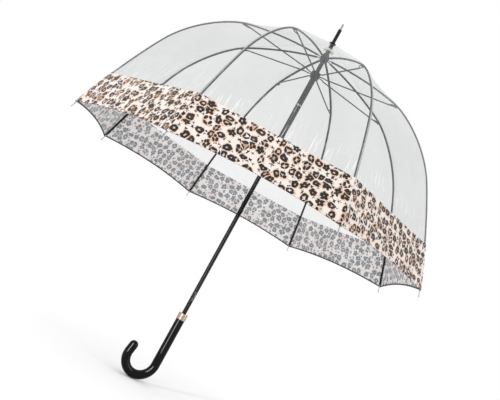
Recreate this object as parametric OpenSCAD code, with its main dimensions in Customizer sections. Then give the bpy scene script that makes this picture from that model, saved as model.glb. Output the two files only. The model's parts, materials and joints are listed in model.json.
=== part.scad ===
// Clear dome umbrella with eight ribs, a long runner and a crook handle, standing open.
// Millimetres, +Z along the shaft towards the ferrule, Z = 0 at the lowest point of the crook.
// Outlines in the plane of a rib are [radius from the shaft axis, height above the crown pivots].

/* [Dome] */
// Radius from the shaft axis to the rib ends
dome_r = 430; // [425:1:435]
// Drop from the crown pivots to the rib ends
dome_drop = 394; // [390:1:398]
// Radius of the shoulder, where a stretcher meets its rib
shoulder_r = 212.5; // [210:0.5:215]
// Drop from the crown pivots to the shoulder
shoulder_drop = 47; // [45:0.5:49]
// Radius of the knee, where the rib turns down
knee_r = 340; // [337:1:343]
// Drop from the crown pivots to the knee
knee_drop = 173; // [170:1:176]
// Height of the canopy's top above the crown pivots
apex_rise = 39.5; // [38:0.5:42]
// Width of the printed band, measured up the rib
band_w = 96; // [80:1:120]
// Width of the edging along the hem
edging_w = 3; // [2:0.5:5]
// Thickness of the canopy film
film_t = 0.5; // [0.4:0.1:0.6]

/* [Ribs and stretchers] */
// Width of a rib across its channel
rib_w = 4.8; // [4.4:0.1:4.9]
// Depth of a rib
rib_d = 2.6; // [2.4:0.1:2.8]
// Wall of the rib and stretcher channels
channel_t = 0.6; // [0.5:0.05:0.7]
// Width of a stretcher
stretcher_w = 2.4; // [2.2:0.1:2.5]
// Depth of a stretcher
stretcher_d = 2.2; // [2:0.1:2.4]
// Side gap between a rib and its stretcher
side_gap = 0.3; // [0.25:0.05:0.4]
// Radius of the crown's pivot ring
crown_ring_r = 7.5; // [7.4:0.05:7.6]
// Radius of the runner's pivot ring
runner_ring_r = 8.7; // [8.6:0.05:8.8]

/* [Shaft and runner] */
// Height of the crown pivots above the lowest point of the crook
crown_z = 845; // [840:1:850]
// Outer radius of the shaft
shaft_r = 5; // [4.9:0.05:5]
// Wall of the shaft
shaft_t = 0.6; // [0.5:0.05:0.7]
// Height of the runner pivots when the umbrella is open
runner_z = 798.5; // [797:0.5:799]
// Height of the sleeve's lower end when the umbrella is open
sleeve_bottom = 555; // [550:1:560]
// Outer radius of the sleeve
sleeve_r = 6.8; // [6.7:0.05:6.85]
// Distance that the runner slides to close the umbrella
runner_travel = 358.9; // [358.5:0.1:359.5]

/* [Handle and ends] */
// Radius of the crook's rod
grip_r = 10; // [9.5:0.25:10.5]
// Radius of the crook's bend, to the middle of the rod
crook_r = 35; // [33:0.5:38]
// Angle that the crook turns through
crook_turn = 190; // [180:5:200]
// Straight length after the bend
crook_arm = 14; // [8:1:20]
// Height of the handle's shoulder
grip_top = 157.5; // [150:0.5:165]
// Height of the collar
collar_h = 14.5; // [13:0.5:16]
// Radius of the ferrule
ferrule_r = 4.2; // [4:0.1:4.5]
// Length of the ferrule above its flange
ferrule_l = 36.5; // [30:0.5:45]

/* [Hidden] */

black = [0.05, 0.05, 0.055];
steel = [0.62, 0.62, 0.62];
rose_gold = [0.85, 0.72, 0.64];
clear = [0.85, 0.88, 0.9, 0.35];

rib_count = 8;
rib_pitch = 360 / rib_count;
eps = 0.5;              // how far a cutter runs past the face that it cuts
fit = 0.05;             // radial clearance of a running fit
flex_gap = 0.4;         // set-back of each rib length from the line where the rib flexes
wire_r = 0.55;          // radius of the two pivot ring wires
eye_hole_r = 0.63;      // hole of a pivot eye
eye_r = 1.7;            // outside of a pivot eye
tongue_t = 1.2;         // thickness of the flat end that holds a pivot eye
slot_w = 1.6;           // width of the notches that the tongues turn in
tongue_l = 16;          // length of a tongue
channel_start = 12;     // distance from the pivot to the start of the channel
canopy_lift = 1;        // clearance between the ribs and the canopy film
pin_r = 0.8;            // radius of the two cross pins
pin_fit = 0.02;         // radial clearance of a pressed pin
spigot_r = 8;           // neck of the handle inside the collar
spigot_h = 11;          // length of that neck

// Corners of the rib's outer face, and how far each length of rib bows
crown_pt = [crown_ring_r, 0];
shoulder_pt = [shoulder_r, -shoulder_drop];
knee_pt = [knee_r, -knee_drop];
end_pt = [dome_r, -dome_drop];
inner_bow = 15.4;
middle_bow = 29;
outer_bow = 8.5;
apex_pt = [5, apex_rise];

// Rivet that joins a stretcher to its rib, just inside the shoulder
rivet_pt = [shoulder_r - 4.5, -shoulder_drop - 2.5];
stretcher_side = (rib_w + stretcher_w) / 2 + side_gap;

// Heights of parts on the shaft and the runner
shaft_bottom = 100;
apex_z = crown_z + apex_rise;
shaft_top = apex_z - 2.5;
crown_pin_z = crown_z + 6.5;
crown_r = 10;
head_r = 11.2;
head_h = 14.5;
head_above = 6.5;       // part of the head that stands above its pivots
head_top = runner_z + head_above;
stop_pin_z = head_top + pin_r + 0.3;
neck_bottom = crown_z - 128;
ring_h = 4;
sleeve_top = neck_bottom - ring_h;
sleeve_bore_r = 6.1;
top_window_z = crown_z - 186;
low_window_z = sleeve_bottom + 20;
bottom_catch_z = low_window_z - runner_travel;
window_h = 14;
window_w = 3;
catch_l = 24;
catch_t = 1.6;

// Ferrule, from the top of the film upwards
ferrule_gap = 1;
flange_h = 2.4;
tail_r = 1.5;           // rod of the metal tip that is pressed into the ferrule
tail_hole_l = 10;

// ---- Geometry of a bowed length, from a to b, bulging up and away from the shaft ----
function span(a, b) = norm(b - a);
function droop(a, b) = atan2(a[1] - b[1], b[0] - a[0]);
function bow_r(a, b, bow) = span(a, b) / (2 * sin(bow / 2));
function out_normal(angle) = [sin(angle), cos(angle)];
function bow_centre(a, b, bow) =
    (a + b) / 2 - bow_r(a, b, bow) * cos(bow / 2) * out_normal(droop(a, b));
function bow_pt(a, b, bow, t, lift) =
    let (angle = droop(a, b) - bow / 2 + t * bow)
    bow_centre(a, b, bow) + (bow_r(a, b, bow) + lift) * out_normal(angle);
function arc_len(a, b, bow) = bow_r(a, b, bow) * bow * PI / 180;

// Stands an outline drawn in the plane of a rib up at that rib's direction
module at_rib(k) {
    translate([0, 0, crown_z]) rotate([0, 0, (k - 1) * rib_pitch]) rotate([90, 0, 0]) children();
}

// Channel section with its web outermost: x is the distance from the centre of the bow
module channel_2d(r, w, d) {
    difference() {
        translate([r - d, -w / 2]) square([d, w]);
        translate([r - d - eps, -w / 2 + channel_t]) square([d - channel_t + eps, w - 2 * channel_t]);
    }
}

module bowed_channel(a, b, bow, cut_a, cut_b) {
    r = bow_r(a, b, bow);
    degrees_per_mm = bow / arc_len(a, b, bow);
    centre = bow_centre(a, b, bow);
    first = 90 - droop(a, b) - bow / 2 + cut_b * degrees_per_mm;
    translate([centre[0], centre[1], 0]) rotate([0, 0, first])
        rotate_extrude(angle = bow - (cut_a + cut_b) * degrees_per_mm, $fn = 720)
            channel_2d(r, rib_w, rib_d);
}

// ---- Ribs ----
module rib_inner(k) {
    start_angle = droop(crown_pt, shoulder_pt) - inner_bow / 2;
    color(black) at_rib(k) difference() {
        union() {
            bowed_channel(crown_pt, shoulder_pt, inner_bow, channel_start, flex_gap);
            translate([crown_pt[0], crown_pt[1], -tongue_t / 2]) rotate([0, 0, -start_angle])
                translate([0, -eye_r, 0]) cube([tongue_l, eye_r - 0.3, tongue_t]);
            translate([crown_pt[0], crown_pt[1], -tongue_t / 2])
                cylinder(r = eye_r, h = tongue_t, $fn = 48);
        }
        translate([crown_pt[0], crown_pt[1], -tongue_t])
            cylinder(r = eye_hole_r, h = 2 * tongue_t, $fn = 48);
    }
}

module rib_middle(k) {
    color(black) at_rib(k) bowed_channel(shoulder_pt, knee_pt, middle_bow, flex_gap, flex_gap);
}

module rib_outer(k) {
    color(black) at_rib(k) bowed_channel(knee_pt, end_pt, outer_bow, flex_gap, 6);
}

// Socket on the end of a rib, with the thin pin that carries the hem's corner
module rib_tip(k) {
    heading = droop(knee_pt, end_pt) + outer_bow / 2;
    socket_l = 6;
    pin_l = 12.5;
    color(steel) at_rib(k) translate([end_pt[0], end_pt[1], 0]) rotate([0, 0, -heading])
        translate([-socket_l, -rib_d / 2, 0]) rotate([0, 90, 0]) {
            cylinder(r = 1.9, h = socket_l, $fn = 48);
            translate([0, 0, socket_l]) cylinder(r = 0.9, h = pin_l, $fn = 32);
            translate([0, 0, socket_l + pin_l]) sphere(r = 1.2, $fn = 32);
        }
}

// ---- Stretchers: a channel beside the rib, a flat inner end in the runner, a riveted outer eye ----
module stretcher(k) {
    pivot = [runner_ring_r, runner_z - crown_z];
    length = span(pivot, rivet_pt);
    solid_end = 4;
    color(black) at_rib(k) translate([pivot[0], pivot[1], 0]) rotate([0, 0, -droop(pivot, rivet_pt)])
        difference() {
            union() {
                translate([0, -stretcher_d / 2, -tongue_t / 2]) cube([tongue_l, stretcher_d, tongue_t]);
                translate([0, 0, -tongue_t / 2]) cylinder(r = eye_r, h = tongue_t, $fn = 48);
                // cross piece that steps out to the side of the rib
                translate([channel_start, -stretcher_d / 2, -stretcher_side - stretcher_w / 2])
                    cube([tongue_l - channel_start, stretcher_d,
                          stretcher_side + (stretcher_w + tongue_t) / 2]);
                translate([channel_start, -stretcher_d / 2, -stretcher_side - stretcher_w / 2])
                    cube([length - channel_start, stretcher_d, stretcher_w]);
                translate([length, 0, -stretcher_side - stretcher_w / 2])
                    cylinder(r = 2.2, h = stretcher_w, $fn = 48);
                // rivet head on the side away from the rib
                translate([length, 0, -stretcher_side - stretcher_w / 2 - 0.6])
                    cylinder(r = 1.5, h = 1, $fn = 48);
            }
            translate([0, 0, -tongue_t]) cylinder(r = eye_hole_r, h = 2 * tongue_t, $fn = 48);
            // groove of the channel, open downwards
            translate([tongue_l, -stretcher_d / 2 - eps, -stretcher_side - stretcher_w / 2 + channel_t])
                cube([length - tongue_l - solid_end, stretcher_d - channel_t + eps,
                      stretcher_w - 2 * channel_t]);
        }
}

// ---- Shaft and what is fixed to it ----
module tube(r_out, r_in, h) {
    difference() {
        cylinder(r = r_out, h = h, $fn = 96);
        translate([0, 0, -eps]) cylinder(r = r_in, h = h + 2 * eps, $fn = 96);
    }
}

module cross_pin(z, half_l, r) {
    translate([0, 0, z]) rotate([0, 90, 0]) translate([0, 0, -half_l])
        cylinder(r = r, h = 2 * half_l, $fn = 32);
}

module catch_slot(z) {
    slot_side = catch_t + 0.8;
    translate([-slot_side / 2, -shaft_r - eps, z - catch_l / 2]) cube([slot_side, shaft_r, catch_l]);
}

module shaft() {
    color(black) difference() {
        translate([0, 0, shaft_bottom]) tube(shaft_r, shaft_r - shaft_t, shaft_top - shaft_bottom);
        catch_slot(top_window_z);
        catch_slot(bottom_catch_z);
        cross_pin(crown_pin_z, shaft_r + eps, pin_r);
        cross_pin(stop_pin_z, shaft_r + eps, pin_r);
    }
}

module shaft_pins() {
    color(steel) {
        cross_pin(crown_pin_z, crown_r - 0.5, pin_r - pin_fit);
        cross_pin(stop_pin_z, shaft_r + 1.4, pin_r - pin_fit);
    }
}

// Hub with one notch for each tongue; the wire ring lies in a round channel through its teeth
module notched_hub(r_out, h, below, ring_r, open_up) {
    core_r = ring_r - eye_r - 0.1;
    difference() {
        translate([0, 0, -below]) tube(r_out, shaft_r + fit, h);
        rotate_extrude($fn = 96) translate([ring_r, 0]) circle(r = wire_r + fit, $fn = 32);
        for (k = [0 : rib_count - 1]) rotate([0, 0, k * rib_pitch])
            translate([core_r, -slot_w / 2, open_up ? -eye_r - 0.6 : -below - eps])
                cube([r_out, slot_w, open_up ? h : below + eps + eye_r + 0.6]);
    }
}

module crown() {
    below = 7;
    hub_h = 12.5;
    neck_r = 7.5;
    neck_h = 5.5;
    color(black) difference() {
        union() {
            translate([0, 0, crown_z]) notched_hub(crown_r, hub_h, below, crown_ring_r, false);
            translate([0, 0, crown_z + hub_h - below]) tube(neck_r, shaft_r + fit, neck_h);
        }
        cross_pin(crown_pin_z, crown_r + eps, pin_r);
    }
}

module pivot_wire(r, z) {
    color(steel) translate([0, 0, z])
        rotate_extrude($fn = 96) translate([r, 0]) circle(r = wire_r, $fn = 32);
}

module crown_ring() { pivot_wire(crown_ring_r, crown_z); }

// Thin petalled disc that keeps the film off the crown
module crown_rosette() {
    disc_t = 1.4;
    petal_at = 10.5;
    petal_r = 3.4;
    hub_r = 6.6;
    hub_h = 5;
    color([0.93, 0.92, 0.86]) translate([0, 0, crown_z + 20]) difference() {
        union() {
            cylinder(r = petal_at, h = disc_t, $fn = 96);
            for (k = [0 : rib_count - 1]) rotate([0, 0, (k + 0.5) * rib_pitch])
                translate([petal_at, 0, 0]) cylinder(r = petal_r, h = disc_t, $fn = 48);
            cylinder(r = hub_r, h = hub_h, $fn = 96);
        }
        translate([0, 0, -eps]) cylinder(r = shaft_r + fit, h = hub_h + 2 * eps, $fn = 96);
    }
}

// Rod with a stepped flange on top of the film and a spigot down into the shaft
module ferrule() {
    step_r = 6.5;
    spigot_l = 15;
    color(black) translate([0, 0, apex_z + ferrule_gap]) difference() {
        union() {
            cylinder(r = step_r + 2, h = flange_h / 2, $fn = 96);
            cylinder(r = step_r, h = flange_h, $fn = 96);
            cylinder(r = ferrule_r, h = flange_h + ferrule_l, $fn = 96);
            translate([0, 0, -spigot_l])
                cylinder(r = shaft_r - shaft_t - fit, h = spigot_l + flange_h / 2, $fn = 96);
        }
        translate([0, 0, flange_h + ferrule_l - tail_hole_l])
            cylinder(r = tail_r + pin_fit, h = tail_hole_l + eps, $fn = 48);
    }
}

module ferrule_tip() {
    point_r = 2.1;
    point_l = 15;
    rim_r = 3.4;
    rim_h = 2.2;
    color(steel) translate([0, 0, apex_z + ferrule_gap + flange_h + ferrule_l]) {
        cylinder(r = rim_r, h = rim_h, $fn = 64);
        cylinder(r = point_r, h = point_l, $fn = 64);
        translate([0, 0, point_l]) sphere(r = point_r, $fn = 48);
        translate([0, 0, -tail_hole_l + 0.5]) cylinder(r = tail_r, h = tail_hole_l, $fn = 48);
    }
}

module collar() {
    cap_t = 2;
    overhang = 0.8;
    color(rose_gold) translate([0, 0, grip_top]) difference() {
        cylinder(r = grip_r + overhang, h = collar_h, $fn = 96);
        translate([0, 0, -eps]) cylinder(r = spigot_r + fit, h = collar_h - cap_t + eps, $fn = 96);
        translate([0, 0, -eps]) cylinder(r = shaft_r + fit, h = collar_h + 2 * eps, $fn = 96);
    }
}

// Straight rod that ends in a half ball
module round_ended_rod(r, length) {
    rotate_extrude($fn = 96) {
        square([r, length]);
        translate([0, length]) intersection() {
            circle(r = r, $fn = 96);
            square(r);
        }
    }
}

module handle() {
    bend_z = crook_r + grip_r;
    joint_step = 0.05;      // the arm is this much thinner than the bend that it starts in
    color(black) difference() {
        union() {
            rotate_extrude($fn = 96)
                polygon([[0, bend_z], [grip_r, bend_z], [grip_r, grip_top], [spigot_r, grip_top],
                         [spigot_r, grip_top + spigot_h], [0, grip_top + spigot_h]]);
            translate([-crook_r, 0, bend_z]) rotate([-90, 0, 0]) {
                rotate_extrude(angle = crook_turn, $fn = 360)
                    translate([crook_r, 0]) circle(r = grip_r, $fn = 96);
                rotate([0, 0, crook_turn]) translate([crook_r, -eps, 0]) rotate([-90, 0, 0])
                    round_ended_rod(grip_r - joint_step, crook_arm + eps);
            }
        }
        translate([0, 0, shaft_bottom - 1])
            cylinder(r = shaft_r + fit, h = grip_top + spigot_h, $fn = 96);
    }
}

// Leaf spring in the shaft with a tooth that stands out through the slot, on the -Y side
module catch_leaf(z) {
    front = -shaft_r + 1;
    back = front + 3.5;
    strip = front + 1.2;
    tooth = -sleeve_r - 0.7;
    half = catch_l / 2 - 1;
    color(steel) translate([-catch_t / 2, 0, z]) rotate([90, 0, 90]) linear_extrude(catch_t)
        polygon([[front, half], [strip, half], [back, 2], [back, -2], [strip, -half], [front, -half],
                 [front - 0.1, -4.8], [tooth, -3.5], [tooth, 4.5], [front - 0.1, 4.8]]);
}

module top_catch() { catch_leaf(top_window_z); }
module bottom_catch() { catch_leaf(bottom_catch_z); }

// ---- Runner ----
module runner_head() {
    color(black) {
        translate([0, 0, runner_z])
            notched_hub(head_r, head_h, head_h - head_above, runner_ring_r, true);
        translate([0, 0, neck_bottom]) tube(sleeve_r, shaft_r + fit, head_top - head_h - neck_bottom);
    }
}

module runner_ring() { pivot_wire(runner_ring_r, runner_z); }

module sleeve_ring() {
    color(steel) translate([0, 0, sleeve_top]) tube(sleeve_r + 0.5, shaft_r + 0.2, ring_h);
}

module runner_sleeve() {
    color(black) difference() {
        translate([0, 0, sleeve_bottom]) tube(sleeve_r, sleeve_bore_r, sleeve_top - sleeve_bottom);
        for (z = [top_window_z, low_window_z])
            translate([-window_w / 2, -sleeve_r - eps, z - window_h / 2])
                cube([window_w, sleeve_r, window_h]);
    }
}

module sleeve_bush() {
    bush_h = 6;
    bush_inside = 9.5;
    color(black) {
        translate([0, 0, sleeve_bottom - bush_h]) tube(sleeve_r + 0.9, shaft_r + fit, bush_h);
        translate([0, 0, sleeve_bottom]) tube(sleeve_bore_r - fit, shaft_r + fit, bush_inside);
    }
}

// ---- Canopy: eight gores, straight from rib to rib, open below ----
film_steps = 10;
band_top = 1 - band_w / arc_len(knee_pt, end_pt, outer_bow);
edging_top = 1 - edging_w / arc_len(knee_pt, end_pt, outer_bow);

function middle_line(lift) =
    [for (i = [0 : film_steps - 1]) bow_pt(shoulder_pt, knee_pt, middle_bow, i / film_steps, lift)];
function outer_line(from, to, lift) =
    [for (i = [0 : film_steps])
        bow_pt(knee_pt, end_pt, outer_bow, from + (to - from) * i / film_steps, lift)];
function reversed(list) = [for (i = [len(list) - 1 : -1 : 0]) list[i]];

module gored(outline) {
    translate([0, 0, crown_z]) rotate_extrude($fn = rib_count) polygon(outline);
}

module canopy() {
    outside = concat([apex_pt + [0, film_t]], middle_line(canopy_lift + film_t),
                     outer_line(0, band_top, canopy_lift + film_t));
    inside = concat([apex_pt], middle_line(canopy_lift), outer_line(0, band_top, canopy_lift));
    color(clear) gored(concat(outside, reversed(inside)));
}

module printed_band() {
    color([0.93, 0.84, 0.74]) gored(concat(outer_line(band_top, edging_top, canopy_lift + film_t),
                                           reversed(outer_line(band_top, edging_top, canopy_lift))));
}

module hem_edging() {
    color(black) gored(concat(outer_line(edging_top, 1, canopy_lift + film_t),
                              reversed(outer_line(edging_top, 1, canopy_lift))));
}

shaft();
shaft_pins();
crown();
crown_ring();
crown_rosette();
ferrule();
ferrule_tip();
collar();
handle();
canopy();
printed_band();
hem_edging();
top_catch();
bottom_catch();
runner_head();
runner_ring();
sleeve_ring();
runner_sleeve();
sleeve_bush();
rib_inner(1);  // rib_1_inner
rib_inner(2);  // rib_2_inner
rib_inner(3);  // rib_3_inner
rib_inner(4);  // rib_4_inner
rib_inner(5);  // rib_5_inner
rib_inner(6);  // rib_6_inner
rib_inner(7);  // rib_7_inner
rib_inner(8);  // rib_8_inner
rib_middle(1);  // rib_1_middle
rib_middle(2);  // rib_2_middle
rib_middle(3);  // rib_3_middle
rib_middle(4);  // rib_4_middle
rib_middle(5);  // rib_5_middle
rib_middle(6);  // rib_6_middle
rib_middle(7);  // rib_7_middle
rib_middle(8);  // rib_8_middle
rib_outer(1);  // rib_1_outer
rib_outer(2);  // rib_2_outer
rib_outer(3);  // rib_3_outer
rib_outer(4);  // rib_4_outer
rib_outer(5);  // rib_5_outer
rib_outer(6);  // rib_6_outer
rib_outer(7);  // rib_7_outer
rib_outer(8);  // rib_8_outer
rib_tip(1);  // rib_1_tip
rib_tip(2);  // rib_2_tip
rib_tip(3);  // rib_3_tip
rib_tip(4);  // rib_4_tip
rib_tip(5);  // rib_5_tip
rib_tip(6);  // rib_6_tip
rib_tip(7);  // rib_7_tip
rib_tip(8);  // rib_8_tip
stretcher(1);  // stretcher_1
stretcher(2);  // stretcher_2
stretcher(3);  // stretcher_3
stretcher(4);  // stretcher_4
stretcher(5);  // stretcher_5
stretcher(6);  // stretcher_6
stretcher(7);  // stretcher_7
stretcher(8);  // stretcher_8
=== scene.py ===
# Looks of the clear dome umbrella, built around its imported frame. Metres throughout.
# Ribs are numbered 1 to 8, counter-clockwise seen from above, with rib 1 towards +X.
# A rib's own frame has x outwards in the plane of the rib, y across it and z up the shaft.
# An outline in the plane of a rib is (radius from the shaft axis, height).
import json
import math

import bpy
import numpy as np
from mathutils import Matrix, Vector, noise

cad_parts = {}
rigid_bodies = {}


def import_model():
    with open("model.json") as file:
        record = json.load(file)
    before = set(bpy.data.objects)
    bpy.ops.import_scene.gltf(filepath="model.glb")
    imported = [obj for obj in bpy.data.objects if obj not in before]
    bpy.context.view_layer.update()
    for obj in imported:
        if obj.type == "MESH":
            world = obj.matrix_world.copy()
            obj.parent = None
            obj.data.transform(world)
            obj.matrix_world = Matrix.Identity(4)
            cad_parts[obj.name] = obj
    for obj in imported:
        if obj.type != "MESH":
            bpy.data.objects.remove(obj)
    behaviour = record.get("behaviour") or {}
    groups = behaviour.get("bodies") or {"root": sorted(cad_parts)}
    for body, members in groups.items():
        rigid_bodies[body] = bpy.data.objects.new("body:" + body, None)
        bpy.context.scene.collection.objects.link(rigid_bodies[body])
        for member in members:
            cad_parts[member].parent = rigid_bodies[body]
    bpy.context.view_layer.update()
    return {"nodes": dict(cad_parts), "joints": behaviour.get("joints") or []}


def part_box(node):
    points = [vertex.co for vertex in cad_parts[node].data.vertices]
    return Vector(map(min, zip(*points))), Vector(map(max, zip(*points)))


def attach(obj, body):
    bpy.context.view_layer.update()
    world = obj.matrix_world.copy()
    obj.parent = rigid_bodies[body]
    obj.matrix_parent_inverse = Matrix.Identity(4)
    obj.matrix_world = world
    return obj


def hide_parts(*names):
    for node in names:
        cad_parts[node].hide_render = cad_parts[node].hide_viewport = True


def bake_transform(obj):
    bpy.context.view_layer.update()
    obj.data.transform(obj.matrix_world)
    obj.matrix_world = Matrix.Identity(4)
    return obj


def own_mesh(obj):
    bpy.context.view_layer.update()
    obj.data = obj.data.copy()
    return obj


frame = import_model()

# ---- Sizes ----
RIB_COUNT = 8
PITCH = math.tau / RIB_COUNT
HALF_PITCH = PITCH / 2
INNER_BOW, MIDDLE_BOW, OUTER_BOW = (math.radians(a) for a in (15.4, 29.0, 8.5))  # turn along each arc
RIB_W, RIB_D, CHANNEL_T = 0.0048, 0.0026, 0.0006
STRETCHER_W, STRETCHER_D = 0.0024, 0.0022
STRETCHER_SIDE = 0.0039      # sideways step of a stretcher from the middle of its rib
FORK_SIDE = RIB_W / 2 + 0.0006   # how far each blade of a stretcher's fork stands from the middle
RIVET_FROM_SHOULDER = np.array([-0.0045, -0.0025])
RIB_STEP = 0.004             # spacing of the rings along a rib
RIB_ROOT = 0.012             # where a rib's channel starts, past its flat tongue
RIB_SHORT = 0.005            # how far the channel stops before the end of the rib
TONGUE_L = 0.016             # length of the flat tongue
EAR_GAP, EAR_T = 0.00075, 0.0006   # inner face of each ear under the shoulder, and its thickness
EAR_R, EAR_BACK = 0.0019, 0.005    # its radius, and how far before the shoulder it leaves the rib
STEP_FROM, STEP_L = 0.011, 0.009   # where a stretcher steps to the side, past its tongue
FORK_L, BLADE_T = 0.016, 0.0008    # length of its fork, and thickness of each blade
METAL_SHARP, FILM_SHARP = 40, 50   # degrees between two faces from which their edge is drawn sharp
FILM_LIFT = 0.00125          # middle of the film above the outer face of a rib
APEX_R = 0.005               # radius of the hole that the shaft passes through
APEX_DROP = 0.0003           # middle of the film below the top of the CAD canopy
BAND_W, BAND_T = 0.096, 0.0004
EDGING_W, EDGING_T = 0.003, 0.0008
EDGING_LAP = 0.0004          # how far the tape reaches over the band
EDGING_OUTER, EDGING_INNER = 0.0015, 0.001   # faces of the CAD edging above the outer face of a rib
SCALLOP = 0.009              # rise of the hem between two rib ends
SAG = 0.006                  # how far the film cuts in between two ribs
WELD_HALF = 0.0028           # half the width of the welded seam over a rib
WELD_SHINE = 0.0006          # half the width of the painted highlight along the middle of that seam
KINK_SMOOTH = 0.012          # reach over which the film and the ribs round their corners
ROW = 0.0045                 # spacing of the film's rows
COLS = 20                    # columns from a rib to the middle of its gore
LINE_STEPS = 1600            # points of a smooth line
SHARES = 120                 # points of each length that such a line is made from
MIDDLE_CREST, OUTER_CREST = 0.008, 0.004     # height of a line above each rib length's chord
BUCKLES = ((0.0009, 0.055, 3.1), (0.00035, 0.018, 7.7))   # height, size and seed of the film's soft waves
PUCKER, PUCKER_SIZE, PUCKER_SEED = 0.0007, 0.006, 1.3     # the small gathers beside the band
PUCKER_ABOVE, PUCKER_BELOW = 0.03, 0.012     # distance that they fade out over, above the band and in it
HELD = 0.15                  # share of a half gore, from its rib, over which waves and gathers build up
PUCKER_SHIFT = 0.4           # sets the puckers of one gore apart from the next
PRINT_SHIFT = (0.731, 0.377)     # and the print
ACROSS = np.array([0.0, 1.0, 0.0])   # across a rib, in the rib's own frame

# ---- Places, from the frame ----
joint = {j["name"]: j for j in frame["joints"]}


def in_plane(name):
    """(radius, height) of a joint of rib 1."""
    p = joint[name]["pos_m"]
    return np.array([math.hypot(p[0], p[1]), p[2]])


def droop(a, b):
    """How steeply the line from a to b falls."""
    return math.atan2(a[1] - b[1], b[0] - a[0])


def outward(angle):
    """Direction that points off the outer face of a line that falls at this angle."""
    return np.stack([np.sin(angle), np.cos(angle)], axis=-1)


def bow_points(a, b, bow, t, lift=0.0):
    """Points at shares t of the bowed length from a to b, lifted off its outer face."""
    span = np.linalg.norm(b - a)
    radius = span / (2 * math.sin(bow / 2))
    centre = (a + b) / 2 - radius * math.cos(bow / 2) * outward(droop(a, b))
    return centre + (radius + lift) * outward(droop(a, b) - bow / 2 + np.asarray(t) * bow)


crown, shoulder, knee = (in_plane("rib_1_" + n) for n in ("crown_pivot", "shoulder_flex", "knee_flex"))
runner_pivot = in_plane("stretcher_1_runner_pivot")
hem_lo, hem_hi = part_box("hem_edging")
end_angle = droop(knee, (hem_hi.x, hem_lo.z)) + OUTER_BOW / 2
rib_end = np.array([hem_hi.x - EDGING_OUTER * math.sin(end_angle),
                    hem_lo.z - EDGING_INNER * math.cos(end_angle)])
canopy_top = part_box("canopy")[1].z
apex = np.array([APEX_R, canopy_top - APEX_DROP])
rivet = shoulder + RIVET_FROM_SHOULDER


class Path:
    """A smooth line in the plane of a rib, measured by the distance along it."""

    def __init__(self, corners_at, points):
        step = np.linalg.norm(np.diff(points, axis=0), axis=1)
        s = np.concatenate([[0], np.cumsum(step)])
        even = np.linspace(0, s[-1], LINE_STEPS)
        line = np.stack([np.interp(even, s, points[:, i]) for i in (0, 1)], axis=1)
        marks = [s[i] for i in corners_at]
        gap = even[1]
        reach = int(3 * KINK_SMOOTH / gap)
        weight = np.exp(-0.5 * (np.arange(-reach, reach + 1) * gap / KINK_SMOOTH) ** 2)
        padded = np.concatenate([2 * line[0] - line[reach:0:-1], line, 2 * line[-1] - line[-2:-reach - 2:-1]])
        smooth = np.stack([np.convolve(padded[:, i], weight / weight.sum(), "valid") for i in (0, 1)], axis=1)
        near = np.zeros(len(even))
        for m in marks:
            near = np.maximum(near, np.exp(-0.5 * ((even - m) / (2 * KINK_SMOOTH)) ** 4))
        self.line = line * (1 - near[:, None]) + smooth * near[:, None]
        self.s, self.marks, self.end = even, marks, even[-1]
        slope = np.gradient(self.line, even, axis=0)
        self.slope = slope / np.linalg.norm(slope, axis=1)[:, None]

    def at(self, s):
        return np.stack([np.interp(s, self.s, self.line[:, i]) for i in (0, 1)], axis=-1)

    def slope_at(self, s):
        return np.stack([np.interp(s, self.s, self.slope[:, i]) for i in (0, 1)], axis=-1)


shares = np.linspace(0, 1, SHARES)
corner_marks = [SHARES - 1, 2 * (SHARES - 1)]
cone_end = bow_points(shoulder, knee, MIDDLE_BOW, 0.0, FILM_LIFT)
cone = apex + shares[:-1, None] * (cone_end - apex)
middle = bow_points(shoulder, knee, MIDDLE_BOW, shares[:-1], FILM_LIFT)
outer = bow_points(knee, rib_end, OUTER_BOW, shares, FILM_LIFT)
film = Path(corner_marks, np.concatenate([cone, middle, outer]))
S_SHOULDER, S_KNEE = film.marks
S_BAND = film.end - BAND_W
rib_line = Path(corner_marks, np.concatenate([bow_points(crown, shoulder, INNER_BOW, shares[:-1]),
                                              bow_points(shoulder, knee, MIDDLE_BOW, shares[:-1]),
                                              bow_points(knee, rib_end, OUTER_BOW, shares)]))
S_FLEX, S_BEND = rib_line.marks


def turned(points, k):
    """Points in rib k's own frame, in the row frame."""
    points = np.asarray(points, float)
    x, y, z = (points[..., i] for i in range(3))
    cosine, sine = math.cos((k - 1) * PITCH), math.sin((k - 1) * PITCH)
    return np.stack([x * cosine - y * sine, x * sine + y * cosine, z], axis=-1)


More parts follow.
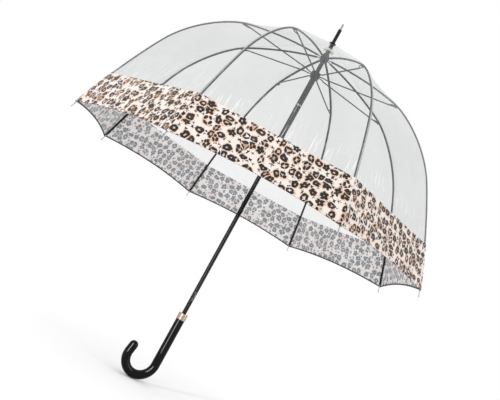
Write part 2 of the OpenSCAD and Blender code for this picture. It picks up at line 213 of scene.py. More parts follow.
# ---- Shader helpers ----
class Shader:
    """A material and short names for the nodes that these looks use."""

    def __init__(self, name, slot):
        self.mat = bpy.data.materials.new(name)
        self.mat.use_nodes = True
        self.slot = slot
        self.tree = self.mat.node_tree
        self.bsdf = self.tree.nodes["Principled BSDF"]

    def node(self, kind, inputs=None, **settings):
        n = self.tree.nodes.new(kind)
        for key, value in settings.items():
            setattr(n, key, value)
        for key, value in (inputs or {}).items():
            self.feed(n.inputs[key], value)
        return n

    def feed(self, socket, value):
        if isinstance(value, bpy.types.NodeSocket):
            self.tree.links.new(value, socket)
        else:
            socket.default_value = value

    def set(self, **sockets):
        """Gives the surface's own inputs, named with _ for each space."""
        for key, value in sockets.items():
            self.feed(self.bsdf.inputs[key.replace("_", " ")], value)
        return self

    def place(self):
        return self.node("ShaderNodeTexCoord").outputs["Object"]

    def uv(self, layer):
        return self.node("ShaderNodeUVMap", uv_map=layer).outputs["UV"]

    def stretched(self, vector, scale):
        return self.node("ShaderNodeMapping", {"Vector": vector, "Scale": scale}).outputs["Vector"]

    def noise(self, vector, scale, detail=3.0):
        return self.node("ShaderNodeTexNoise", {"Vector": vector, "Scale": scale, "Detail": detail,
                                                "Roughness": 0.55}).outputs["Fac"]

    def wobble(self, vector, scale, reach):
        """A shift of up to about half of reach in the plane of a UV map."""
        n = self.node("ShaderNodeTexNoise", {"Vector": vector, "Scale": scale, "Detail": 1.0})
        centred = self.vector_math("SUBTRACT", n.outputs["Color"], (0.5, 0.5, 0.5))
        return self.vector_math("MULTIPLY", centred, (reach, reach, 0.0))

    def math(self, operation, a, b=0.0, clamp=False):
        return self.node("ShaderNodeMath", {0: a, 1: b}, operation=operation, use_clamp=clamp).outputs[0]

    def vector_math(self, operation, a, b):
        return self.node("ShaderNodeVectorMath", {0: a, 1: b}, operation=operation).outputs[0]

    def ramp(self, value, low, high, to_low=0.0, to_high=1.0):
        """value from low to high, mapped smoothly to the two others."""
        return self.node("ShaderNodeMapRange", {"Value": value, "From Min": low, "From Max": high,
                                                "To Min": to_low, "To Max": to_high},
                         interpolation_type="SMOOTHSTEP").outputs["Result"]

    def mix(self, factor, a, b):
        n = self.node("ShaderNodeMix", data_type="RGBA")
        self.feed(n.inputs[0], factor)
        self.feed(n.inputs[6], a)
        self.feed(n.inputs[7], b)
        return n.outputs[2]

    def bump(self, height, distance, strength=1.0):
        n = self.node("ShaderNodeBump", {"Height": height, "Distance": distance, "Strength": strength})
        self.feed(self.bsdf.inputs["Normal"], n.outputs["Normal"])
        return self


def rgb(r, g, b):
    return (r, g, b, 1.0)


def grey(value):
    return rgb(value, value, value)


# ---- Materials ----
def clear_film():
    m = Shader("clear_pvc_film", "clear_film")
    place, seam = m.place(), m.uv("seam")
    streaks = m.noise(m.stretched(m.uv("print"), (260, 26, 1)), 1.0, 4.0)
    hairs = m.noise(m.stretched(m.uv("print"), (420, 17, 1)), 1.0, 2.0)
    clouds = m.noise(place, 9.0, 3.0)
    along = m.node("ShaderNodeSeparateXYZ", {0: seam})
    weld = m.ramp(along.outputs["X"], WELD_HALF + 0.0004, WELD_HALF)
    # Painted highlights on the gathers just above the band: thin white lines where the film puckers
    gather_sheen = m.math("MULTIPLY", m.ramp(hairs, 0.56, 0.66),
                     m.ramp(along.outputs["Y"], S_BAND - 0.10, S_BAND - 0.015))
    # The film is less clear along its streaks and gathers, so that the painted highlights show
    sheen_alpha = m.math("ADD", m.ramp(streaks, 0.54, 0.78, 0.0, 0.07), m.math("MULTIPLY", gather_sheen, 0.30))
    edge_on = m.node("ShaderNodeLayerWeight", {"Blend": 0.35}).outputs["Facing"]
    base = m.math("ADD", m.ramp(clouds, 0.3, 0.7, 0.145, 0.190), m.math("MULTIPLY", edge_on, 0.16))
    veil = m.math("ADD", base, sheen_alpha)
    # Painted highlight: a white, less clear line along the middle of the weld seam over each rib
    shine = m.ramp(along.outputs["X"], WELD_SHINE + 0.0006, WELD_SHINE)
    # Painted highlight colour: the film turns near white along its streaks, its gathers and the middle of the
    # weld seam
    painted_sheen = m.math("MAXIMUM", m.math("MAXIMUM", m.ramp(streaks, 0.55, 0.8, 0.0, 0.6), gather_sheen), shine)
    over_rib = m.math("MAXIMUM", m.math("MULTIPLY", weld, 0.36), m.math("MULTIPLY", shine, 0.55))
    m.set(Alpha=m.math("MAXIMUM", veil, over_rib, clamp=True),
          Base_Color=m.mix(painted_sheen, rgb(0.27, 0.28, 0.285), rgb(0.86, 0.87, 0.87)),
          Roughness=m.ramp(clouds, 0.25, 0.75, 0.09, 0.2), IOR=1.52, Specular_IOR_Level=0.8)
    return m.bump(streaks, 0.0008, 0.5)


def rosettes(m, flat, shift, cells_per_m, smallest, thick):
    """One layer of rosettes, each a ring of rounded blobs: its blobs, its heart and its soft surround.

    smallest is the least radius of a ring and thick the least half thickness, in cells."""
    scaled = m.vector_math("MULTIPLY", m.vector_math("ADD", flat, shift), (cells_per_m, cells_per_m, 0.0))
    shape = {"Vector": scaled, "Scale": 1.0, "Randomness": 0.72}
    cell = m.node("ShaderNodeTexVoronoi", shape, voronoi_dimensions="2D", feature="F1")
    border = m.node("ShaderNodeTexVoronoi", shape, voronoi_dimensions="2D", feature="DISTANCE_TO_EDGE")
    toward = m.node("ShaderNodeSeparateXYZ", {0: m.vector_math("SUBTRACT", scaled, cell.outputs["Position"])})
    chance = m.node("ShaderNodeSeparateColor", {0: cell.outputs["Color"]})
    red, green, blue = (chance.outputs[c] for c in ("Red", "Green", "Blue"))
    x = m.math("MULTIPLY", toward.outputs["X"], m.ramp(red, 0.0, 1.0, 0.82, 1.30))
    y = m.math("MULTIPLY", toward.outputs["Y"], m.ramp(green, 0.0, 1.0, 0.82, 1.20))
    distance = m.math("SQRT", m.math("ADD", m.math("MULTIPLY", x, x), m.math("MULTIPLY", y, y)))
    sector = m.math("DIVIDE", math.tau, m.math("ADD", m.math("ROUND", m.math("MULTIPLY", blue, 2.6)), 3.0))
    angle = m.math("ADD", m.math("ARCTAN2", y, x), m.math("MULTIPLY", green, 20.0))
    share = m.math("SUBTRACT", m.math("FRACT", m.math("DIVIDE", angle, sector)), 0.5)
    turn = m.math("MULTIPLY", share, sector)
    middle = m.ramp(red, 0.0, 1.0, smallest, smallest + 0.10)   # radius of the middle of the ring
    length = m.math("MULTIPLY", m.math("MULTIPLY", middle, sector), m.ramp(green, 0.0, 1.0, 0.46, 0.70))
    out = m.math("DIVIDE", m.math("SUBTRACT", m.math("MULTIPLY", distance, m.math("COSINE", turn)), middle),
                 m.ramp(blue, 0.0, 1.0, thick, thick * 1.4))
    along = m.math("DIVIDE", m.math("MULTIPLY", distance, m.math("SINE", turn)), length)
    blob = m.math("SQRT", m.math("ADD", m.math("MULTIPLY", out, out), m.math("MULTIPLY", along, along)))
    inside = m.ramp(border.outputs["Distance"], 0.02, 0.06)
    ring = m.math("MULTIPLY", m.ramp(blob, 1.1, 0.9), inside)
    past_ring = m.math("SUBTRACT", distance, middle)
    heart = m.math("MULTIPLY", m.ramp(past_ring, 0.03, -0.03), inside)
    surround = m.ramp(past_ring, 0.34, 0.12)
    return ring, heart, surround


def print_pattern(m):
    """The film's UV places, and masks of its animal print.

    The masks are the black marks, the hearts of the rosettes and the soft colour about them."""
    flat = m.uv("print")
    slow, quick = m.wobble(flat, 45.0, 0.012), m.wobble(flat, 190.0, 0.0032)
    bent = m.vector_math("ADD", m.vector_math("ADD", flat, slow), quick)
    ring, heart, surround = rosettes(m, bent, (0.0, 0.0, 0.0), 54.0, 0.205, 0.135)
    small = rosettes(m, bent, (0.137, 0.291, 0.0), 90.0, 0.06, 0.22)[0]
    free = m.math("SUBTRACT", 1.0, surround, clamp=True)   # where no large rosette is
    spots = m.math("MAXIMUM", ring, m.math("MULTIPLY", small, m.ramp(free, 0.35, 0.6)), clamp=True)
    return flat, spots, heart, surround


def printed_outside():
    m = Shader("printed_film_outside", "printed_film")
    flat, spots, heart, surround = print_pattern(m)
    patches = m.ramp(m.noise(flat, 42.0, 2.0), 0.34, 0.56)
    ground = m.mix(m.math("MULTIPLY", surround, patches), rgb(0.72, 0.65, 0.60), rgb(0.62, 0.40, 0.28))
    warm = m.mix(m.math("MULTIPLY", heart, m.ramp(m.noise(flat, 33.0, 1.0), 0.46, 0.62)), ground,
                 rgb(0.42, 0.27, 0.20))
    dark = m.mix(m.ramp(m.noise(flat, 75.0, 1.0), 0.55, 0.68), rgb(0.009, 0.011, 0.013),
                 rgb(0.042, 0.022, 0.016))
    m.set(Base_Color=m.mix(spots, warm, dark), Roughness=m.ramp(m.noise(flat, 40.0), 0.3, 0.7, 0.34, 0.46),
          Specular_IOR_Level=0.3)
    return m.bump(m.noise(flat, 900.0, 2.0), 0.0001, 0.4)


def printed_inside():
    m = Shader("printed_film_inside", "printed_film")
    flat, spots, heart = print_pattern(m)[:3]
    patches = m.ramp(m.noise(flat, 22.0, 2.0), 0.42, 0.60)
    ground = m.mix(patches, rgb(0.74, 0.72, 0.71), rgb(0.72, 0.655, 0.63))
    inner = m.mix(heart, ground, rgb(0.52, 0.49, 0.48))
    m.set(Base_Color=m.mix(spots, inner, rgb(0.215, 0.23, 0.25)),
          Roughness=m.ramp(m.noise(flat, 40.0), 0.3, 0.7, 0.35, 0.5), Specular_IOR_Level=0.3)
    return m.bump(m.noise(flat, 900.0, 2.0), 0.0001, 0.4)


def edging_tape():
    m = Shader("edging_tape", "edging")
    flat = m.uv("print")
    weave = m.noise(m.stretched(flat, (1400, 900, 1)), 1.0, 1.0)
    m.set(Base_Color=m.mix(weave, rgb(0.012, 0.012, 0.013), rgb(0.045, 0.043, 0.045)),
          Roughness=m.ramp(weave, 0.3, 0.7, 0.55, 0.75))
    return m.bump(weave, 0.0002, 0.6)


def painted_steel():
    m = Shader("black_painted_steel", "rib_steel")
    place = m.place()
    wear = m.ramp(m.noise(place, 240.0, 4.0), 0.60, 0.74)
    m.set(Base_Color=m.mix(wear, rgb(0.010, 0.010, 0.011), rgb(0.07, 0.07, 0.072)),
          Roughness=m.ramp(m.noise(place, 90.0, 3.0), 0.3, 0.7, 0.24, 0.42), Specular_IOR_Level=0.28)
    return m.bump(m.noise(place, 700.0, 2.0), 0.00005, 0.5)


def gloss_paint():
    m = Shader("black_gloss_shaft", "black_shaft")
    place = m.place()
    scuffs = m.ramp(m.noise(m.stretched(place, (900, 900, 60)), 1.0, 3.0), 0.62, 0.8)
    m.set(Base_Color=m.mix(scuffs, rgb(0.004, 0.004, 0.005), rgb(0.030, 0.030, 0.033)),
          Roughness=m.ramp(m.noise(place, 60.0), 0.3, 0.7, 0.12, 0.22), Specular_IOR_Level=0.22)
    return m.bump(m.noise(place, 220.0, 2.0), 0.00006, 0.4)


def lacquer():
    m = Shader("black_lacquered_handle", "black_gloss")
    place = m.place()
    smears = m.noise(m.stretched(place, (40, 40, 14)), 1.0, 4.0)
    m.set(Base_Color=m.mix(smears, rgb(0.002, 0.002, 0.003), rgb(0.006, 0.006, 0.007)),
          Roughness=m.ramp(smears, 0.35, 0.7, 0.06, 0.14), Specular_IOR_Level=0.12)
    return m.bump(m.noise(place, 95.0, 2.0), 0.00008, 0.5)


def nylon():
    m = Shader("black_moulded_nylon", "black_nylon")
    place = m.place()
    grain = m.noise(place, 1300.0, 2.0)
    m.set(Base_Color=m.mix(m.noise(place, 70.0), rgb(0.010, 0.010, 0.011), rgb(0.024, 0.024, 0.025)),
          Roughness=m.ramp(m.noise(place, 150.0), 0.3, 0.7, 0.36, 0.55), Specular_IOR_Level=0.3)
    return m.bump(grain, 0.00008, 0.5)


def nickel():
    m = Shader("bright_nickel", "nickel")
    place = m.place()
    brushed = m.noise(m.stretched(place, (500, 500, 2500)), 1.0, 2.0)
    m.set(Base_Color=m.mix(m.noise(place, 120.0), rgb(0.25, 0.24, 0.23), rgb(0.37, 0.36, 0.34)),
          Roughness=m.ramp(brushed, 0.3, 0.7, 0.16, 0.32), Metallic=1.0)
    return m.bump(brushed, 0.00003, 0.4)


def rose_gold():
    m = Shader("rose_gold_collar", "rose_gold")
    place = m.place()
    turned_lines = m.noise(m.stretched(place, (60, 60, 3200)), 1.0, 2.0)
    m.set(Base_Color=m.mix(m.noise(place, 90.0), rgb(0.34, 0.245, 0.19), rgb(0.48, 0.37, 0.30)),
          Roughness=m.ramp(turned_lines, 0.3, 0.7, 0.20, 0.34), Metallic=1.0)
    return m.bump(turned_lines, 0.00003, 0.4)


def pale_plastic():
    m = Shader("pale_moulded_plastic", "pale_plastic")
    place = m.place()
    m.set(Base_Color=m.mix(m.noise(place, 160.0), rgb(0.74, 0.72, 0.60), rgb(0.84, 0.83, 0.74)),
          Roughness=m.ramp(m.noise(place, 300.0), 0.3, 0.7, 0.3, 0.45),
          Subsurface_Weight=0.15, Subsurface_Scale=0.002)
    return m.bump(m.noise(place, 900.0, 2.0), 0.00005, 0.4)


FILM, PRINT, REVERSE, EDGING = clear_film(), printed_outside(), printed_inside(), edging_tape()
STEEL, SHAFT, LACQUER, NYLON = painted_steel(), gloss_paint(), lacquer(), nylon()
NICKEL, ROSE, PALE = nickel(), rose_gold(), pale_plastic()


# ---- Mesh helpers ----
def make_piece(name, verts, faces, shader, sharp=None, layers=None, second=None, second_from=None):
    """A mesh piece, with its first shader's material.

    layers gives each vertex's place in each UV map. Faces from second_from on use the second shader.
    Edges of more than sharp degrees stay sharp."""
    mesh = bpy.data.meshes.new(name)
    mesh.from_pydata([tuple(v) for v in verts], [], [tuple(int(i) for i in f) for f in faces])
    mesh.materials.append(shader.mat)
    if second is not None:
        mesh.materials.append(second.mat)
        mesh.polygons.foreach_set("material_index", [int(i >= second_from) for i in range(len(faces))])
    corners = np.zeros(len(mesh.loops), int)
    mesh.loops.foreach_get("vertex_index", corners)
    for layer, places in (layers or {}).items():
        uv = mesh.uv_layers.new(name=layer)
        uv.data.foreach_set("uv", np.asarray(places, float)[corners].ravel())
    mesh.shade_smooth()
    if sharp is not None:
        mesh.set_sharp_from_angle(angle=math.radians(sharp))
    mesh.update()
    obj = bpy.data.objects.new(name, mesh)
    bpy.context.scene.collection.objects.link(obj)
    return obj


def grid_faces(rows, cols, first=0, flip=False):
    """Quads of a grid of rows x cols vertices."""
    faces = []
    for i in range(rows - 1):
        for j in range(cols - 1):
            a = first + i * cols + j
            quad = (a, a + cols, a + cols + 1, a + 1)
            faces.append(quad[::-1] if flip else quad)
    return faces


def rim_faces(rows, cols, count, flip):
    """Quads that join the edges of two grids of the same size, the second count vertices after the first."""
    rim = list(range(cols)) + [i * cols + cols - 1 for i in range(1, rows)]
    rim += [(rows - 1) * cols + j for j in range(cols - 2, -1, -1)]
    rim += [i * cols for i in range(rows - 2, 0, -1)]
    faces = []
    for a, b in zip(rim, rim[1:] + rim[:1]):
        quad = (b, a, a + count, b + count)
        faces.append(quad if flip else quad[::-1])
    return faces


def tube_faces(rings, n):
    """Quads between closed rings of n vertices, and a face over each end."""
    faces = [(i * n + j, i * n + (j + 1) % n, (i + 1) * n + (j + 1) % n, (i + 1) * n + j)
             for i in range(rings - 1) for j in range(n)]
    return faces + [tuple(range(n))[::-1], tuple((rings - 1) * n + j for j in range(n))]


def sweep(outline, points, side, up):
    """A closed outline carried along a line: outline point (a, b) goes to point + a * side + b * up.

    The outline and both directions are given once, or once for each point."""
    outline = np.asarray(outline, float)
    outline = np.broadcast_to(outline, (len(points),) + outline.shape[-2:])
    side, up = (np.broadcast_to(d, points.shape)[:, None] for d in (side, up))
    verts = points[:, None] + outline[..., 0:1] * side + outline[..., 1:2] * up
    return verts.reshape(-1, 3), tube_faces(len(points), outline.shape[1])


def joined(*parts):
    """Several (verts, faces) as one."""
    verts, faces, first = [], [], 0
    for v, f in parts:
        verts.append(np.asarray(v, float))
        faces += [tuple(i + first for i in face) for face in f]
        first += len(v)
    return np.concatenate(verts), faces


def lathe(profile, axis_from, axis_to, steps=28):
    """A solid of revolution: profile points are (distance along the axis, radius)."""
    axis_from, axis_to = np.asarray(axis_from, float), np.asarray(axis_to, float)
    w = (axis_to - axis_from) / np.linalg.norm(axis_to - axis_from)
    u = np.cross(w, [0, 0, 1.0] if abs(w[2]) < 0.9 else [1.0, 0, 0])
    u /= np.linalg.norm(u)
    v = np.cross(w, u)
    turn = np.linspace(0, math.tau, steps, endpoint=False)
    ring = np.cos(turn)[:, None] * u + np.sin(turn)[:, None] * v
    verts = np.concatenate([axis_from + x * w + r * ring for x, r in profile])
    return verts, tube_faces(len(profile), steps)


def disc(thick, radius, chamfer, cut):
    """Profile for lathe of a disc with broken edges."""
    return [(0, radius - cut), (chamfer, radius), (thick - chamfer, radius), (thick, radius - cut)]


EYE_T = 0.0012               # thickness of the eyes on the crown's and the runner's rings
EYE = disc(EYE_T, 0.0017, 0.0002, 0.0004)


# ---- Ribs ----
def channel_outline(width, depth, wall, corner=0.0005):
    """Channel with rounded outer corners: (across, outwards), open inwards, web at 0."""
    arc = [(math.sin(a), math.cos(a)) for a in np.linspace(0, math.pi / 2, 4)]
    h = width / 2
    right = [(h - corner + corner * x, -corner + corner * y) for x, y in arc]
    inner, ease = h - wall, 0.0003
    groove = [(inner, -depth), (inner, -wall - ease), (inner - ease, -wall)]
    half = right + [(h, -depth)] + groove
    return half + [(-x, y) for x, y in half[::-1]]


def rib_piece(name, k, s_from, s_to, extras=()):
    s = np.arange(s_from, s_to, RIB_STEP)
    s = np.append(s if s_to - s[-1] > RIB_STEP / 4 else s[:-1], s_to)
    line, slope = rib_line.at(s), rib_line.slope_at(s)
    points = np.stack([line[:, 0], 0 * s, line[:, 1]], axis=1)
    ups = np.stack([-slope[:, 1], 0 * s, slope[:, 0]], axis=1)
    verts, faces = joined(sweep(channel_outline(RIB_W, RIB_D, CHANNEL_T), points, ACROSS, ups), *extras)
    return make_piece(name, turned(verts, k), faces, STEEL, sharp=METAL_SHARP)


def plane_point(place, y=0.0):
    return np.array([place[0], y, place[1]])


def rib_root():
    """Flat tongue of the rib's crown end, with its eye."""
    head = rib_line.slope_at(0.0)
    along = np.array([head[0], 0, head[1]])
    start = plane_point(crown)
    eye = lathe(EYE, start - EYE_T / 2 * ACROSS, start + EYE_T / 2 * ACROSS)
    s = np.linspace(0.0, TONGUE_L, 6)
    half = np.interp(s, [0, 0.009, TONGUE_L], [EYE_T / 2, EYE_T / 2, 0.0011])
    high, low = -0.0004, -0.0021
    outline = np.stack([[(h, high), (h, low), (-h, low), (-h, high)] for h in half])
    points = start + s[:, None] * along
    return eye, sweep(outline, points, ACROSS, np.array([-along[2], 0, along[0]]))


def rib_lug():
    """Two small ears under the rib that hold the rivet of the stretcher."""
    ears = []
    for y in (-EAR_GAP - EAR_T, EAR_GAP):
        centre = plane_point(rivet, y)
        ears.append(lathe(disc(EAR_T, EAR_R, 0.00005, 0.0003), centre, centre + EAR_T * ACROSS, 20))
        web = plane_point(rib_line.at(S_FLEX - EAR_BACK), y)
        down = centre - web
        down /= np.linalg.norm(down)
        ears.append(sweep([(-EAR_R, 0), (EAR_R, 0), (EAR_R, EAR_T), (-EAR_R, EAR_T)],
                          np.stack([web + 0.001 * down, centre]), np.array([down[2], 0, -down[0]]), ACROSS))
    return ears


rib_split = (S_FLEX + S_BEND) / 2


for k in range(1, RIB_COUNT + 1):
    upper = rib_piece(f"rib_{k}_upper", k, RIB_ROOT, rib_split, [*rib_root(), *rib_lug()])
    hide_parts(f"rib_{k}_inner")
    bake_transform(upper)
    lower = rib_piece(f"rib_{k}_lower", k, rib_split, rib_line.end - RIB_SHORT)
    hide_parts(f"rib_{k}_middle", f"rib_{k}_outer")
    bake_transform(lower)

# ---- Stretchers ----
stretcher_l = float(np.linalg.norm(rivet - runner_pivot))


def stretcher_parts():
    """Eye, tongue and channel, fork and rivet of the stretcher of rib 1."""
    along = np.array([rivet[0] - runner_pivot[0], 0, rivet[1] - runner_pivot[1]]) / stretcher_l
    up = np.array([-along[2], 0, along[0]])
    start = plane_point(runner_pivot)

    def place(x, y, z):
        return start + x * along + y * ACROSS + z * up

    parts = [lathe(EYE, place(0, -EYE_T / 2, 0), place(0, EYE_T / 2, 0))]
    # tongue, then the channel after its step to the side
    s = np.concatenate([np.linspace(0, STEP_FROM, 4), np.linspace(0.0125, 0.021, 7),
                        np.linspace(0.03, stretcher_l - FORK_L, 24)])
    step = np.clip((s - STEP_FROM) / STEP_L, 0, 1)
    y = STRETCHER_SIDE * step * step * (3 - 2 * step)
    opened = np.clip((s - 0.012) / 0.006, 0, 1)[:, None, None]
    right = [(EYE_T / 2 * share, z) for share, z in
             ((0.6, 0.0010), (0.9, 0.0009), (1, 0.0006), (1, 0.0),
              (1, -0.0011), (0.5, -0.0011), (0.4, -0.0010), (0.3, -0.0009))]
    tongue = np.array(right + [(-x, z) for x, z in right[::-1]])
    full = channel_outline(STRETCHER_W, STRETCHER_D, 0.0005, 0.0004) + np.array([0, STRETCHER_D / 2])
    order = np.linspace(0, len(full) - 1, len(tongue)).round().astype(int)
    outline = tongue[None] * (1 - opened) + full[order][None] * opened
    points = np.stack([place(a, b, 0) for a, b in zip(s, y)])
    parts.append(sweep(outline, points, ACROSS, up))
    # fork that straddles the rib's ears
    h, d = BLADE_T / 2, STRETCHER_D / 2
    blade = [(-h, -d), (h, -d), (h, d), (-h, d)]
    for route in ([(0.018, STRETCHER_SIDE, 0), (0.013, STRETCHER_SIDE, 0), (0.006, FORK_SIDE + 0.0002, 0),
                   (0.0, FORK_SIDE, 0)],
                  [(0.0195, STRETCHER_SIDE - 0.0002, -0.0001), (0.0165, 0.0016, 0), (0.0135, -0.0014, 0),
                   (0.010, -FORK_SIDE, 0), (0.0, -FORK_SIDE, 0)]):
        t = np.linspace(0, len(route) - 1, 14)
        knots = np.array(route)
        xyz = np.stack([np.interp(t, range(len(route)), knots[:, i]) for i in range(3)], axis=1)
        line = np.stack([place(stretcher_l - a, b, c) for a, b, c in xyz])
        parts.append(sweep(blade, line, ACROSS, up))
    for y in (-FORK_SIDE, FORK_SIDE):
        parts.append(lathe(disc(BLADE_T, 0.0021, 0.0001, 0.0003),
                           place(stretcher_l, y - h, 0), place(stretcher_l, y + h, 0), 24))
    head_out = FORK_SIDE + 0.0010
    head = [(0, 0.0006), (0.0002, 0.0011), (0.0006, 0.0012), (0.0006, 0.0008)]
    parts.append(lathe(head + [(2 * head_out - x, radius) for x, radius in head[::-1]],
                       place(stretcher_l, -head_out, 0), place(stretcher_l, head_out, 0), 20))
    return joined(*parts)


verts, faces = stretcher_parts()
for k in range(1, RIB_COUNT + 1):
    piece = make_piece(f"stretcher_{k}_arm", turned(verts, k), faces, STEEL, sharp=METAL_SHARP)
    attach(piece, f"stretcher_{k}")
    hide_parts(f"stretcher_{k}")


# ---- Canopy ----
def ripple(x, y, z, size, seed):
    """Smooth noise between about -1 and 1, with waves of this size."""
    return noise.noise(Vector((x / size + seed, y / size, z / size)))


def film_height(place, across, s, lam):
    """How far the film stands off its smooth surface: soft buckles, and puckers above the band."""
    x, y, z = place
    buckle = sum(height * ripple(x, y, z, size, seed) for height, size, seed in BUCKLES)
    fade = PUCKER_ABOVE if s < S_BAND else PUCKER_BELOW
    pucker = PUCKER * ripple(across, 0.15 * s, z * 0.2, PUCKER_SIZE, PUCKER_SEED)
    pucker *= math.exp(-abs(S_BAND - s) / fade)
    hold = min(1.0, lam / HELD)
    return (buckle + pucker) * hold * hold * (3 - 2 * hold)


def panel(k, side, top, bottom, rows, offset=0.0):
    """Grid of film from rib k to the middle of the gore on one side of it.

    top and bottom give the distance along the film at a share of the way to the middle.
    Returns its vertices, their UV places, its flat width and length, and the area of its flat cut."""
    lam = np.linspace(0, 1, COLS + 1)
    t = np.linspace(0, 1, rows + 1)[:, None]
    s = top(lam)[None] * (1 - t) + bottom(lam)[None] * t
    at, slope = film.at(s), film.slope_at(s)
    r, z = at[..., 0], at[..., 1]
    sine, cosine = math.sin(HALF_PITCH), math.cos(HALF_PITCH)
    width = r * sine
    flat = np.stack([r - lam * width * sine, side * lam * width * cosine, z], axis=-1)
    normal = np.stack([-slope[..., 1] * cosine, side * -slope[..., 1] * sine, slope[..., 0] * cosine],
                      axis=-1)
    normal /= np.linalg.norm(normal, axis=-1)[..., None]
    sag = SAG * (1 - (1 - lam) ** 2) * np.sin(np.pi * np.clip(s / film.end, 0, 1)) ** 2
    row_frame = turned(flat, k)
    gore = k if side > 0 else (k - 2) % RIB_COUNT + 1
    across = side * (lam - 1) * width
    lift = np.zeros(s.shape)
    for i in range(s.shape[0]):
        for j in range(s.shape[1]):
            lift[i, j] = film_height(row_frame[i, j], across[i, j] + PUCKER_SHIFT * gore, s[i, j], lam[j])
    verts = turned(flat + (lift - sag + offset)[..., None] * normal, k).reshape(-1, 3)
    layers = {"print": np.stack([across + PRINT_SHIFT[0] * gore, s + PRINT_SHIFT[1] * gore],
                                axis=-1).reshape(-1, 2),
              "seam": np.stack([lam * width, s], axis=-1).reshape(-1, 2)}
    cut = float(np.mean((width[1:] + width[:-1]) / 2 * np.abs(np.diff(s, axis=0))) * rows)
    size = (float(width.max()), float((s[-1] - s[0]).max()))
    return verts, layers, size, cut


def level(s):
    """An edge of a panel at one distance along the film."""
    return lambda lam: np.full(len(lam), float(s))


def hem_line(back):
    """An edge that follows the scalloped hem, this far back from it."""
    return lambda lam: film.end - back - SCALLOP * (1 - (1 - lam) ** 2)


def fold_away(piece):
    """Gives a half gore a mesh of its own."""
    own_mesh(piece)


def rows_for(length):
    return max(3, round(length / ROW))


# The cone between the apex and the shoulders, in rings: where each starts and ends along the film, and
# the share of its width that is left when the umbrella is closed
RINGS = [(0.043, 0.065, 0.74), (0.065, 0.098, 0.46), (0.098, 0.150, 0.23), (0.150, S_SHOULDER, 0.10)]


def wing(k, s_from, s_to):
    """Film on both sides of rib k as one grid, with its faces, UV places, flat size and cut area."""
    rows = rows_for(s_to - s_from)
    left = panel(k, -1, level(s_from), level(s_to), rows)
    right = panel(k, 1, level(s_from), level(s_to), rows)
    n = COLS + 1
    order = np.arange((rows + 1) * n).reshape(rows + 1, n)
    mirror = order[:, :0:-1]

    def both(a, b):
        return np.concatenate([a[mirror], b[order]], axis=1).reshape(-1, a.shape[-1])

    verts = both(left[0], right[0])
    layers = {name: both(left[1][name], right[1][name]) for name in left[1]}
    faces = grid_faces(rows + 1, 2 * n - 1)
    return verts, faces, layers, (2 * left[2][0], left[2][1]), 2 * left[3]


chord_middle, chord_outer = droop(shoulder, knee), droop(knee, rib_end)
HALVES = (("middle", S_SHOULDER, S_KNEE, shoulder, chord_middle, MIDDLE_CREST),
          ("outer", S_KNEE, S_BAND, knee, chord_outer, OUTER_CREST))
for k in range(1, RIB_COUNT + 1):
    verts, faces, layers, size, cut = wing(k, 0.0, RINGS[0][0])
    top = make_piece(f"film_{k}_top", verts, faces, FILM, layers=layers)
    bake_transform(top)
    for n, (s_from, s_to, keep) in enumerate(RINGS, 1):
        verts, faces, layers, size, cut = wing(k, s_from, s_to)
        ring = make_piece(f"film_{k}_cone_{n}", verts, faces, FILM, layers=layers)
        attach(ring, f"rib_{k}_inner")
        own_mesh(ring)
    if k == 1:
        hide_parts("canopy")
    for side, hand in ((1, "left"), (-1, "right")):
        flip, n = side < 0, COLS + 1
        for part, s_from, s_to, origin, chord, crest in HALVES:
            rows = rows_for(s_to - s_from)
            verts, layers, size, cut = panel(k, side, level(s_from), level(s_to), rows)
            piece = make_piece(f"film_{k}_{hand}_{part}", verts, grid_faces(rows + 1, n, flip=flip), FILM,
                               layers=layers)
            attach(piece, f"rib_{k}_{part}")
            fold_away(piece)

        # the band is two skins, the print outside and its reverse inside
        rows = rows_for(BAND_W)
        out_verts, layers, size, cut = panel(k, side, level(S_BAND), hem_line(EDGING_W), rows, BAND_T / 2)
        in_verts = panel(k, side, level(S_BAND), hem_line(EDGING_W), rows, -BAND_T / 2)[0]
        count = len(out_verts)
        faces = grid_faces(rows + 1, n, flip=flip) + rim_faces(rows + 1, n, count, flip)
        inside_from = len(faces)
        faces += grid_faces(rows + 1, n, first=count, flip=not flip)
        both = {name: np.concatenate([v, v]) for name, v in layers.items()}
        band = make_piece(f"band_{k}_{hand}", np.concatenate([out_verts, in_verts]), faces, PRINT,
                          sharp=FILM_SHARP, layers=both, second=REVERSE, second_from=inside_from)
        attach(band, f"rib_{k}_outer")
        fold_away(band)

        # folded tape over the hem, whose outer face shows the print
        top_s, low_s = hem_line(EDGING_W + EDGING_LAP), hem_line(0.0)
        grids = [panel(k, side, top_s, low_s, 3, off) for off in (EDGING_T / 2, -EDGING_T / 2)]
        count = len(grids[0][0])
        faces = grid_faces(4, n, first=count, flip=not flip) + rim_faces(4, n, count, flip)
        print_from = len(faces)
        faces += grid_faces(4, n, flip=flip)
        tape_layers = {name: np.concatenate([v, v]) for name, v in grids[0][1].items()}
        tape = make_piece(f"edging_{k}_{hand}", np.concatenate([g[0] for g in grids]), faces, EDGING,
                          sharp=FILM_SHARP, layers=tape_layers, second=PRINT, second_from=print_from)
        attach(tape, f"rib_{k}_outer")
        fold_away(tape)
        if k == 1 and side == 1:
            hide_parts("printed_band")
            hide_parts("hem_edging")

# ---- Finishes of the frame's own parts ----
FINISHES = {
    SHAFT: ["shaft", "runner_sleeve", "ferrule"],
    NICKEL: ["shaft_pins", "crown_ring", "runner_ring", "sleeve_ring", "top_catch", "bottom_catch",
             "ferrule_tip"] + [f"rib_{k}_tip" for k in range(1, RIB_COUNT + 1)],
    NYLON: ["crown", "runner_head", "sleeve_bush"],
    PALE: ["crown_rosette"],
    ROSE: ["collar"],
    LACQUER: ["handle"],
}
for shader, names in FINISHES.items():
    for name in names:
        mesh = frame["nodes"][name].data
        mesh.materials.clear()
        mesh.materials.append(shader.mat)

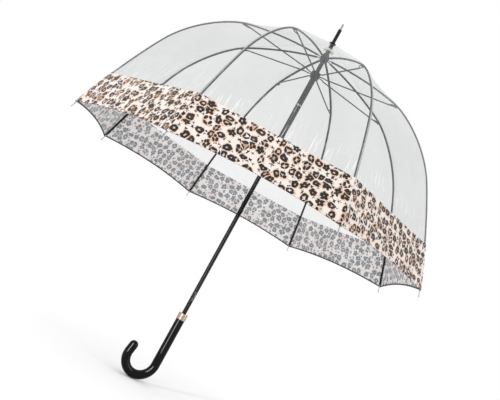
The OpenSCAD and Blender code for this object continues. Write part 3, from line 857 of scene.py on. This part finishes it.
# ---- Floor, light and camera ----
FLOOR_RINGS = (0.4, 1.0, 2.0, 4.0, 8.0, 14.0)   # radii of the round floor's rings
FLOOR_STEPS = 96
FLOOR_Z = -0.0002
n = FLOOR_STEPS
turn = np.linspace(0, math.tau, n, endpoint=False)
verts = [(0.0, 0.0, FLOOR_Z)]
verts += [(r * math.cos(a), r * math.sin(a), FLOOR_Z) for r in FLOOR_RINGS for a in turn]
faces = [(0, 1 + j, 1 + (j + 1) % n) for j in range(n)]
faces += [(1 + i * n + j, 1 + (i + 1) * n + j, 1 + (i + 1) * n + (j + 1) % n, 1 + i * n + (j + 1) % n)
          for i in range(len(FLOOR_RINGS) - 1) for j in range(n)]
floor_look = Shader("pale_floor", "none")
floor_tone = floor_look.noise(floor_look.place(), 3.0)
floor_look.set(Base_Color=floor_look.mix(floor_tone, grey(0.875), grey(0.89)), Roughness=0.9,
               Specular_IOR_Level=0.0)
floor_mesh = bpy.data.meshes.new("floor")
floor_mesh.from_pydata(verts, [], faces)
floor_mesh.materials.append(floor_look.mat)
floor = bpy.data.objects.new("floor", floor_mesh)
bpy.context.scene.collection.objects.link(floor)

world = bpy.data.worlds.new("studio")
bpy.context.scene.world = world
world.use_nodes = True
background = world.node_tree.nodes["Background"]
background.inputs["Color"].default_value = grey(1.0)
background.inputs["Strength"].default_value = 1.0
bpy.context.scene.view_settings.view_transform = "Standard"


def light(name, kind, at, aim, power, **settings):
    """A lamp at one place, turned towards another. Power is in watts, or in W/m2 for a sun."""
    data = bpy.data.lights.new(name, kind)
    data.energy = power
    for key, value in settings.items():
        setattr(data, key, value)
    lamp = bpy.data.objects.new(name, data)
    lamp.location = at
    lamp.rotation_mode = "QUATERNION"
    lamp.rotation_quaternion = (Vector(aim) - Vector(at)).to_track_quat("-Z", "Y")
    bpy.context.scene.collection.objects.link(lamp)
    return lamp


light("overhead", "SUN", (0, 0, 3), (0, 0, 0), 0.4, angle=math.radians(70))
light("key", "AREA", (-2.0, -1.3, 1.2), (0, 0, 0.85), 16, shape="RECTANGLE", size=0.14, size_y=1.1)
light("fill", "AREA", (1.7, -1.6, 1.2), (0, 0, 0.85), 6, shape="RECTANGLE", size=0.10, size_y=1.1)
# panels that show only as long highlights on the gloss parts; the near one lights the handle alone
GLOSS = [frame["nodes"][n] for n in ("shaft", "runner_sleeve", "ferrule", "collar", "handle")]
GLOSS += [bpy.data.objects[f"rib_{k}_{part}"] for k in range(1, RIB_COUNT + 1) for part in ("upper", "lower")]
for name, at, power, width, height, lit in (
        ("left_panel", (-1.6, -1.6, 0.85), 42, 0.55, 1.6, GLOSS),
        ("right_panel", (1.7, -1.5, 0.85), 12, 0.30, 1.6, GLOSS),
        ("handle_panel", (-0.36, -0.30, 0.26), 7, 0.16, 0.5, [frame["nodes"]["handle"]])):
    panel_light = light(name, "AREA", at, (0, 0, at[2]), power, shape="RECTANGLE", size=width, size_y=height)
    panel_light.visible_diffuse = False
    panel_light.visible_camera = False
    panel_light.light_linking.receiver_collection = bpy.data.collections.new("lit_by_" + name)
    for piece in lit:
        panel_light.light_linking.receiver_collection.objects.link(piece)

CAMERA_AT = Vector((-0.530, -1.350, 0.285))
LOOK = Vector((0.3671, 0.9219, 0.1241))
UP_IN_PICTURE = Vector((-0.4887, 0.0776, 0.8690))
FOCAL_LENGTH = 46.2          # on a sensor 36 mm wide
cam_data = bpy.data.cameras.new("camera")
cam_data.lens = FOCAL_LENGTH
cam_data.sensor_width = 36.0
camera = bpy.data.objects.new("camera", cam_data)
camera.location = CAMERA_AT
right = LOOK.cross(UP_IN_PICTURE).normalized()
up = right.cross(LOOK).normalized()
camera.rotation_mode = "QUATERNION"
camera.rotation_quaternion = Matrix((right, up, -LOOK.normalized())).transposed().to_quaternion()
bpy.context.scene.collection.objects.link(camera)
bpy.context.scene.camera = camera
